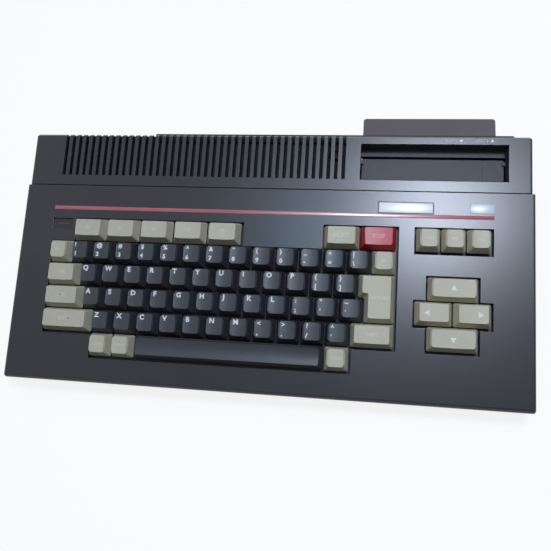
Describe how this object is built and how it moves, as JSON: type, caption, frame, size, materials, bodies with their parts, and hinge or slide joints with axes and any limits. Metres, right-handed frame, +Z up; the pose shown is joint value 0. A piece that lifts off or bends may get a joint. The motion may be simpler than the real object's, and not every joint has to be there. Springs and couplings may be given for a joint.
{
  "type": "home computer",
  "caption": "Low wedge-shaped home computer: full keyboard with cursor keys, top cartridge slot, cooling vents, rear ports and a plugged-in cartridge.",
  "frame": {"origin": "on the table under the middle of the outline, with the cartridge plugged in", "axes": "+X to the user's right along the keyboard, +Y to the rear, +Z up"},
  "size_m": [0.4196, 0.2405, 0.0562],
  "materials": {
    "case_plastic": "fine matt texture, charcoal",
    "cartridge_plastic": "fine matt texture, charcoal",
    "foot_rubber": "matt black",
    "zinc_screw": "zinc plated",
    "smoked_lens": "smoked red-brown, polished",
    "plate_steel": "black",
    "circuit_board": "green solder mask",
    "ribbon_grey": "grey cable",
    "core_steel": "varnished",
    "fin_aluminium": "plain",
    "tinned_steel": "tinned",
    "black_plastic": "plain black moulding",
    "key_red": "moulded red",
    "key_dark": "moulded slate grey",
    "key_beige": "moulded warm beige"
  },
  "bodies": {
    "case": {"front_deck": "case_plastic", "rear_cover": "case_plastic", "lower_case": "case_plastic", "rubber_feet": "foot_rubber", "case_screws": "zinc_screw", "led_window": "smoked_lens", "key_plate": "plate_steel", "keyboard_board": "circuit_board", "keyboard_ribbon": "ribbon_grey", "main_board": "circuit_board", "transformer": "core_steel", "heat_sink": "fin_aluminium", "tv_modulator": "tinned_steel", "round_sockets": "black_plastic", "printer_port": "black_plastic", "joystick_ports": "black_plastic", "mains_inlet": "black_plastic", "power_switch_body": "black_plastic", "slot_well": "case_plastic", "flap_pin": "zinc_screw", "top_slot_socket": "black_plastic", "rear_slot_socket": "black_plastic"},
    "power_rocker": {"power_rocker": "black_plastic"},
    "slot_flap": {"slot_flap": "case_plastic"},
    "cartridge": {"cartridge_shell": "cartridge_plastic", "cartridge_board": "circuit_board"},
    "key_f1": {"key_f1": "key_beige"},
    "key_f2": {"key_f2": "key_beige"},
    "key_f3": {"key_f3": "key_beige"},
    "key_f4": {"key_f4": "key_beige"},
    "key_f5": {"key_f5": "key_beige"},
    "key_select": {"key_select": "key_beige"},
    "key_stop": {"key_stop": "key_red"},
    "key_escape": {"key_escape": "key_beige"},
    "key_backspace": {"key_backspace": "key_beige"},
    "key_tab": {"key_tab": "key_beige"},
    "key_control": {"key_control": "key_beige"},
    "key_shift_left": {"key_shift_left": "key_beige"},
    "key_shift_right": {"key_shift_right": "key_beige"},
    "key_caps": {"key_caps": "key_beige"},
    "key_graph": {"key_graph": "key_beige"},
    "key_space": {"key_space": "key_dark"},
    "key_code": {"key_code": "key_beige"},
    "key_home": {"key_home": "key_beige"},
    "key_insert": {"key_insert": "key_beige"},
    "key_delete": {"key_delete": "key_beige"},
    "key_up": {"key_up": "key_beige"},
    "key_left": {"key_left": "key_beige"},
    "key_right": {"key_right": "key_beige"},
    "key_down": {"key_down": "key_beige"},
    "key_return": {"key_return": "key_beige"},
    "keys_1_to_6": {"keys_1_to_6": "key_dark"},
    "keys_7_to_yen": {"keys_7_to_yen": "key_dark"},
    "keys_q_to_y": {"keys_q_to_y": "key_dark"},
    "keys_u_to_bracket": {"keys_u_to_bracket": "key_dark"},
    "keys_a_to_h": {"keys_a_to_h": "key_dark"},
    "keys_j_to_tilde": {"keys_j_to_tilde": "key_dark"},
    "keys_z_to_n": {"keys_z_to_n": "key_dark"},
    "keys_m_to_accent": {"keys_m_to_accent": "key_dark"}
  },
  "joints": [
    {"name": "flap_hinge", "type": "hinge", "parent": "case", "child": "slot_flap", "pos_m": [0.1327, 0.0569, 0.0376], "axis": [-1, 0, 0], "range_deg": [0, 88], "stiffness_Nm_per_rad": 0.02, "springref_deg": -17.19},
    {"name": "power_rocker_pivot", "type": "hinge", "parent": "case", "child": "power_rocker", "pos_m": [-0.16, 0.08779, 0.0225], "axis": [1, 0, 0], "range_deg": [0, 20]},
    {"name": "cartridge_slide", "type": "slide", "parent": "case", "child": "cartridge", "axis": [0, 1, 0], "range_m": [0, 0.05]},
    {"name": "press_f1", "type": "slide", "parent": "case", "child": "key_f1", "axis": [0, 0.1392, -0.9903], "range_m": [0, 0.0038], "stiffness_N_per_m": 120, "springref_m": -0.002},
    {"name": "press_f2", "type": "slide", "parent": "case", "child": "key_f2", "axis": [0, 0.1392, -0.9903], "range_m": [0, 0.0038], "stiffness_N_per_m": 120, "springref_m": -0.002},
    {"name": "press_f3", "type": "slide", "parent": "case", "child": "key_f3", "axis": [0, 0.1392, -0.9903], "range_m": [0, 0.0038], "stiffness_N_per_m": 120, "springref_m": -0.002},
    {"name": "press_f4", "type": "slide", "parent": "case", "child": "key_f4", "axis": [0, 0.1392, -0.9903], "range_m": [0, 0.0038], "stiffness_N_per_m": 120, "springref_m": -0.002},
    {"name": "press_f5", "type": "slide", "parent": "case", "child": "key_f5", "axis": [0, 0.1392, -0.9903], "range_m": [0, 0.0038], "stiffness_N_per_m": 120, "springref_m": -0.002},
    {"name": "press_select", "type": "slide", "parent": "case", "child": "key_select", "axis": [0, 0.1392, -0.9903], "range_m": [0, 0.0038], "stiffness_N_per_m": 120, "springref_m": -0.002},
    {"name": "press_stop", "type": "slide", "parent": "case", "child": "key_stop", "axis": [0, 0.1392, -0.9903], "range_m": [0, 0.0038], "stiffness_N_per_m": 120, "springref_m": -0.002},
    {"name": "press_escape", "type": "slide", "parent": "case", "child": "key_escape", "axis": [0, 0.1392, -0.9903], "range_m": [0, 0.0038], "stiffness_N_per_m": 120, "springref_m": -0.002},
    {"name": "press_backspace", "type": "slide", "parent": "case", "child": "key_backspace", "axis": [0, 0.1392, -0.9903], "range_m": [0, 0.0038], "stiffness_N_per_m": 120, "springref_m": -0.002},
    {"name": "press_tab", "type": "slide", "parent": "case", "child": "key_tab", "axis": [0, 0.1392, -0.9903], "range_m": [0, 0.0038], "stiffness_N_per_m": 120, "springref_m": -0.002},
    {"name": "press_control", "type": "slide", "parent": "case", "child": "key_control", "axis": [0, 0.1392, -0.9903], "range_m": [0, 0.0038], "stiffness_N_per_m": 120, "springref_m": -0.002},
    {"name": "press_shift_left", "type": "slide", "parent": "case", "child": "key_shift_left", "axis": [0, 0.1392, -0.9903], "range_m": [0, 0.0038], "stiffness_N_per_m": 120, "springref_m": -0.002},
    {"name": "press_shift_right", "type": "slide", "parent": "case", "child": "key_shift_right", "axis": [0, 0.1392, -0.9903], "range_m": [0, 0.0038], "stiffness_N_per_m": 120, "springref_m": -0.002},
    {"name": "press_caps", "type": "slide", "parent": "case", "child": "key_caps", "axis": [0, 0.1392, -0.9903], "range_m": [0, 0.0038], "stiffness_N_per_m": 120, "springref_m": -0.002},
    {"name": "press_graph", "type": "slide", "parent": "case", "child": "key_graph", "axis": [0, 0.1392, -0.9903], "range_m": [0, 0.0038], "stiffness_N_per_m": 120, "springref_m": -0.002},
    {"name": "press_space", "type": "slide", "parent": "case", "child": "key_space", "axis": [0, 0.1392, -0.9903], "range_m": [0, 0.0038], "stiffness_N_per_m": 120, "springref_m": -0.002},
    {"name": "press_code", "type": "slide", "parent": "case", "child": "key_code", "axis": [0, 0.1392, -0.9903], "range_m": [0, 0.0038], "stiffness_N_per_m": 120, "springref_m": -0.002},
    {"name": "press_home", "type": "slide", "parent": "case", "child": "key_home", "axis": [0, 0.1392, -0.9903], "range_m": [0, 0.0038], "stiffness_N_per_m": 120, "springref_m": -0.002},
    {"name": "press_insert", "type": "slide", "parent": "case", "child": "key_insert", "axis": [0, 0.1392, -0.9903], "range_m": [0, 0.0038], "stiffness_N_per_m": 120, "springref_m": -0.002},
    {"name": "press_delete", "type": "slide", "parent": "case", "child": "key_delete", "axis": [0, 0.1392, -0.9903], "range_m": [0, 0.0038], "stiffness_N_per_m": 120, "springref_m": -0.002},
    {"name": "press_up", "type": "slide", "parent": "case", "child": "key_up", "axis": [0, 0.1392, -0.9903], "range_m": [0, 0.0038], "stiffness_N_per_m": 120, "springref_m": -0.002},
    {"name": "press_left", "type": "slide", "parent": "case", "child": "key_left", "axis": [0, 0.1392, -0.9903], "range_m": [0, 0.0038], "stiffness_N_per_m": 120, "springref_m": -0.002},
    {"name": "press_right", "type": "slide", "parent": "case", "child": "key_right", "axis": [0, 0.1392, -0.9903], "range_m": [0, 0.0038], "stiffness_N_per_m": 120, "springref_m": -0.002},
    {"name": "press_down", "type": "slide", "parent": "case", "child": "key_down", "axis": [0, 0.1392, -0.9903], "range_m": [0, 0.0038], "stiffness_N_per_m": 120, "springref_m": -0.002},
    {"name": "press_return", "type": "slide", "parent": "case", "child": "key_return", "axis": [0, 0.1392, -0.9903], "range_m": [0, 0.0038], "stiffness_N_per_m": 120, "springref_m": -0.002},
    {"name": "press_1_to_6", "type": "slide", "parent": "case", "child": "keys_1_to_6", "axis": [0, 0.1392, -0.9903], "range_m": [0, 0.0038], "stiffness_N_per_m": 720, "springref_m": -0.002},
    {"name": "press_7_to_yen", "type": "slide", "parent": "case", "child": "keys_7_to_yen", "axis": [0, 0.1392, -0.9903], "range_m": [0, 0.0038], "stiffness_N_per_m": 840, "springref_m": -0.002},
    {"name": "press_q_to_y", "type": "slide", "parent": "case", "child": "keys_q_to_y", "axis": [0, 0.1392, -0.9903], "range_m": [0, 0.0038], "stiffness_N_per_m": 720, "springref_m": -0.002},
    {"name": "press_u_to_bracket", "type": "slide", "parent": "case", "child": "keys_u_to_bracket", "axis": [0, 0.1392, -0.9903], "range_m": [0, 0.0038], "stiffness_N_per_m": 720, "springref_m": -0.002},
    {"name": "press_a_to_h", "type": "slide", "parent": "case", "child": "keys_a_to_h", "axis": [0, 0.1392, -0.9903], "range_m": [0, 0.0038], "stiffness_N_per_m": 720, "springref_m": -0.002},
    {"name": "press_j_to_tilde", "type": "slide", "parent": "case", "child": "keys_j_to_tilde", "axis": [0, 0.1392, -0.9903], "range_m": [0, 0.0038], "stiffness_N_per_m": 720, "springref_m": -0.002},
    {"name": "press_z_to_n", "type": "slide", "parent": "case", "child": "keys_z_to_n", "axis": [0, 0.1392, -0.9903], "range_m": [0, 0.0038], "stiffness_N_per_m": 720, "springref_m": -0.002},
    {"name": "press_m_to_accent", "type": "slide", "parent": "case", "child": "keys_m_to_accent", "axis": [0, 0.1392, -0.9903], "range_m": [0, 0.0038], "stiffness_N_per_m": 600, "springref_m": -0.002}
  ]
}
